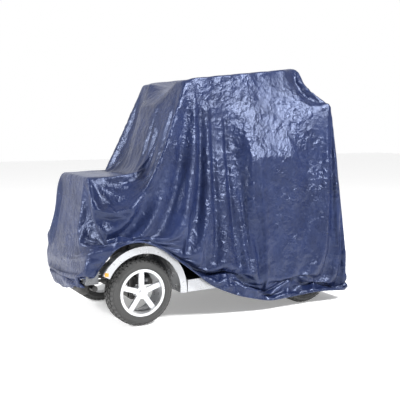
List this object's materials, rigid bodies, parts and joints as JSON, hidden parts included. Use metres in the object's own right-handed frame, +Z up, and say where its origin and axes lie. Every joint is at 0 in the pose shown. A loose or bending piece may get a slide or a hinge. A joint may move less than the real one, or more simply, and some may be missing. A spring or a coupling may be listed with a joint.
{
  "type": "mobility scooter",
  "caption": "Large road-type mobility scooter on pneumatic tyres, with tilting tiller, swivel seat and front basket, under its fitted navy storage cover that lifts off.",
  "frame": {"origin": "on the ground at the middle of the whole object's box", "axes": "+X forward, +Y to the rider's left, +Z up"},
  "size_m": [1.56, 0.8, 1.259],
  "materials": {
    "steel_black": "satin",
    "steel_plain": "satin",
    "silver_panel": "silver lacquer",
    "charcoal_panel": "charcoal lacquer",
    "black_plastic": "fine grain",
    "rubber_black": "ribbed",
    "tyre_rubber": "worn tread",
    "alloy": "bright lacquered",
    "lens_clear": "clear",
    "lens_red": "clear red",
    "battery_case": "moulded",
    "chrome_plate": "polished",
    "seat_vinyl": "grained vinyl",
    "cover_cloth": "navy coated nylon",
    "button_red": "moulded"
  },
  "bodies": {
    "chassis": {"main_frame": "steel_black", "front_axle_beam": "steel_black", "floor_pan": "black_plastic", "deck_mat": "rubber_black", "side_skirts": "silver_panel", "left_front_fender": "silver_panel", "right_front_fender": "silver_panel", "front_fascia": "charcoal_panel", "front_bumper": "black_plastic", "bumper_bar": "steel_black", "headlights": "lens_clear", "rear_shroud": "charcoal_panel", "rear_fenders": "silver_panel", "rear_bumper": "black_plastic", "tail_lights": "lens_red", "batteries": "battery_case", "controller": "steel_plain", "transaxle": "steel_plain", "seat_post": "steel_black"},
    "left_knuckle": {"left_knuckle": "steel_black"},
    "right_knuckle": {"right_knuckle": "steel_black"},
    "left_front_wheel": {"left_front_tyre": "tyre_rubber", "left_front_rim": "alloy"},
    "right_front_wheel": {"right_front_tyre": "tyre_rubber", "right_front_rim": "alloy"},
    "left_rear_wheel": {"left_rear_tyre": "tyre_rubber", "left_rear_rim": "alloy"},
    "right_rear_wheel": {"right_rear_tyre": "tyre_rubber", "right_rear_rim": "alloy"},
    "tie_rod": {"tie_rod": "steel_plain"},
    "column": {"steering_column": "steel_black", "basket": "steel_black"},
    "tiller": {"tiller_shroud": "charcoal_panel", "handlebar": "chrome_plate", "left_grip": "rubber_black", "right_grip": "rubber_black"},
    "tilt_lever": {"tilt_lever": "steel_black"},
    "throttle_lever": {"throttle_lever": "black_plastic"},
    "brake_lever": {"brake_lever": "black_plastic"},
    "speed_dial": {"speed_dial": "black_plastic"},
    "ignition_key": {"ignition_key": "chrome_plate"},
    "horn_button": {"horn_button": "button_red"},
    "light_button": {"light_button": "black_plastic"},
    "left_mirror": {"left_mirror": "black_plastic"},
    "right_mirror": {"right_mirror": "black_plastic"},
    "seat_base": {"seat_swivel": "steel_black"},
    "swivel_lever": {"swivel_lever": "steel_black"},
    "seat": {"seat_pan": "steel_black", "seat_cushion": "seat_vinyl", "seat_side_frames": "steel_black"},
    "backrest": {"backrest_shell": "black_plastic", "backrest_cushion": "seat_vinyl"},
    "headrest": {"headrest": "seat_vinyl"},
    "left_armrest": {"left_armrest": "seat_vinyl"},
    "right_armrest": {"right_armrest": "seat_vinyl"},
    "cover": {"cover_left_side": "cover_cloth", "cover_right_side": "cover_cloth", "cover_front_end": "cover_cloth", "cover_rear_end": "cover_cloth", "cover_roof": "cover_cloth"}
  },
  "joints": [
    {"name": "tiller_turn", "type": "hinge", "parent": "chassis", "child": "column", "pos_m": [0.4, 0, 0.3], "axis": [0, 0, -1], "range_deg": [-35, 35]},
    {"name": "left_steer", "type": "hinge", "parent": "chassis", "child": "left_knuckle", "pos_m": [0.435, 0.2, 0.1625], "axis": [0, 0, -1], "range_deg": [-20, 20]},
    {"name": "right_steer", "type": "hinge", "parent": "chassis", "child": "right_knuckle", "pos_m": [0.435, -0.2, 0.1625], "axis": [0, 0, -1], "range_deg": [-20, 20]},
    {"name": "tie_rod_shift", "type": "slide", "parent": "chassis", "child": "tie_rod", "axis": [0, 1, 0], "range_m": [-0.026, 0.026]},
    {"name": "left_front_spin", "type": "hinge", "parent": "left_knuckle", "child": "left_front_wheel", "pos_m": [0.435, 0.275, 0.1625], "axis": [0, 1, 0], "continuous": true},
    {"name": "right_front_spin", "type": "hinge", "parent": "right_knuckle", "child": "right_front_wheel", "pos_m": [0.435, -0.275, 0.1625], "axis": [0, 1, 0], "continuous": true},
    {"name": "left_rear_spin", "type": "hinge", "parent": "chassis", "child": "left_rear_wheel", "pos_m": [-0.517, 0.275, 0.1625], "axis": [0, 1, 0], "continuous": true},
    {"name": "right_rear_spin", "type": "hinge", "parent": "chassis", "child": "right_rear_wheel", "pos_m": [-0.517, -0.275, 0.1625], "axis": [0, 1, 0], "continuous": true},
    {"name": "tiller_tilt", "type": "hinge", "parent": "column", "child": "tiller", "pos_m": [0.4, 0, 0.44], "axis": [0, -1, 0], "range_deg": [0, 25]},
    {"name": "tilt_lever_pull", "type": "hinge", "parent": "column", "child": "tilt_lever", "pos_m": [0.4, 0.049, 0.44], "axis": [0, 1, 0], "range_deg": [0, 12], "stiffness_Nm_per_rad": 0.8},
    {"name": "throttle", "type": "hinge", "parent": "tiller", "child": "throttle_lever", "pos_m": [0.135, 0, 0.958], "axis": [0, 0, 1], "range_deg": [-18, 18], "stiffness_Nm_per_rad": 0.8},
    {"name": "brake", "type": "hinge", "parent": "tiller", "child": "brake_lever", "pos_m": [0.227, 0.126, 1.009], "axis": [0, 0, 1], "range_deg": [0, 10], "stiffness_Nm_per_rad": 1.2},
    {"name": "speed_dial_turn", "type": "hinge", "parent": "tiller", "child": "speed_dial", "pos_m": [0.15, 0.034, 1.05], "axis": [0, 0, -1], "range_deg": [0, 270]},
    {"name": "ignition_turn", "type": "hinge", "parent": "tiller", "child": "ignition_key", "pos_m": [0.15, -0.034, 1.05], "axis": [0, 0, -1], "range_deg": [0, 90]},
    {"name": "horn_press", "type": "slide", "parent": "tiller", "child": "horn_button", "axis": [0, 0, -1], "range_m": [0, 0.002], "stiffness_N_per_m": 400},
    {"name": "light_press", "type": "slide", "parent": "tiller", "child": "light_button", "axis": [0, 0, -1], "range_m": [0, 0.002], "stiffness_N_per_m": 400},
    {"name": "left_mirror_turn", "type": "hinge", "parent": "tiller", "child": "left_mirror", "pos_m": [0.168, 0.122, 1.03], "axis": [0, 0, 1], "range_deg": [-20, 20]},
    {"name": "right_mirror_turn", "type": "hinge", "parent": "tiller", "child": "right_mirror", "pos_m": [0.168, -0.122, 1.03], "axis": [0, 0, 1], "range_deg": [-20, 20]},
    {"name": "seat_turn", "type": "hinge", "parent": "chassis", "child": "seat_base", "pos_m": [-0.23, 0, 0.45], "axis": [0, 0, 1], "range_deg": [-90, 90]},
    {"name": "swivel_lever_lift", "type": "hinge", "parent": "seat_base", "child": "swivel_lever", "pos_m": [-0.23, -0.034, 0.4435], "axis": [-1, 0, 0], "range_deg": [0, 8], "stiffness_Nm_per_rad": 3, "springref_deg": -22.92},
    {"name": "seat_slide", "type": "slide", "parent": "seat_base", "child": "seat", "axis": [1, 0, 0], "range_m": [-0.04, 0.06]},
    {"name": "recline", "type": "hinge", "parent": "seat", "child": "backrest", "pos_m": [-0.44, 0, 0.665], "axis": [0, 1, 0], "range_deg": [-12, 95]},
    {"name": "headrest_slide", "type": "slide", "parent": "backrest", "child": "headrest", "axis": [-0.1745, 0, 0.9847], "range_m": [-0.04, 0]},
    {"name": "left_armrest_lift", "type": "hinge", "parent": "seat", "child": "left_armrest", "pos_m": [-0.46, 0.298, 0.765], "axis": [0, -1, 0], "range_deg": [0, 90]},
    {"name": "right_armrest_lift", "type": "hinge", "parent": "seat", "child": "right_armrest", "pos_m": [-0.46, -0.298, 0.765], "axis": [0, -1, 0], "range_deg": [0, 90]},
    {"name": "cover_lift", "type": "slide", "parent": "chassis", "child": "cover", "axis": [0, 0, 1], "range_m": [0, 1.35], "deforming": ["cover_left_side", "cover_right_side", "cover_front_end", "cover_rear_end", "cover_roof"]}
  ],
  "couplings": [
    {"joint": "left_steer", "follows": "tiller_turn", "ratio": 0.56},
    {"joint": "right_steer", "follows": "tiller_turn", "ratio": 0.56},
    {"joint": "tie_rod_shift", "follows": "tiller_turn", "m_per_rad": 0.0403}
  ]
}
